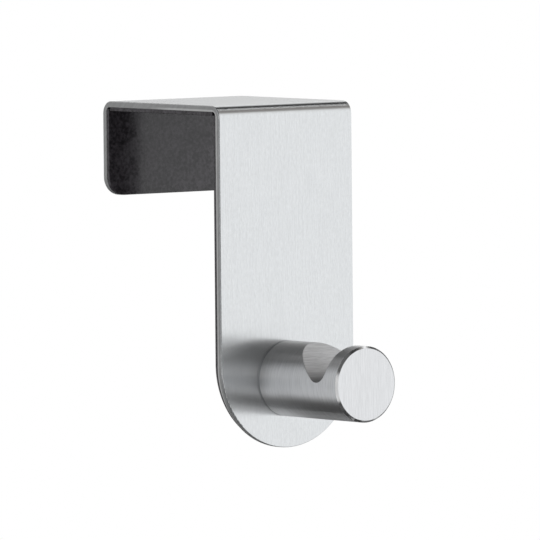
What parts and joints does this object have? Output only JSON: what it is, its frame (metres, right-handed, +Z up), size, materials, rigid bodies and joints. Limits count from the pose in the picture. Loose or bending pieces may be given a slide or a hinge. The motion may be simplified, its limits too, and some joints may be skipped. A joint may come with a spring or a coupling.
{
  "type": "over-door towel hook",
  "caption": "Over-door towel hook: a folded steel strip, lined with rubber, hangs on the top edge of a door, and a notched round peg on its round-ended front plate holds the towel.",
  "frame": {"origin": "middle of the top pad's underside, where the door's top edge seats", "axes": "+X along the width of the strip, to the right as seen from the front; -Y out of the front plate, along the peg; +Z up"},
  "size_m": [0.04, 0.0748, 0.0816],
  "materials": {
    "brushed_steel": "fine straight brush",
    "rubber": "satin"
  },
  "bodies": {
    "root": {"bracket": "brushed_steel", "peg": "brushed_steel", "front_pad": "rubber", "top_pad": "rubber", "rear_pad": "rubber"}
  },
  "joints": []
}
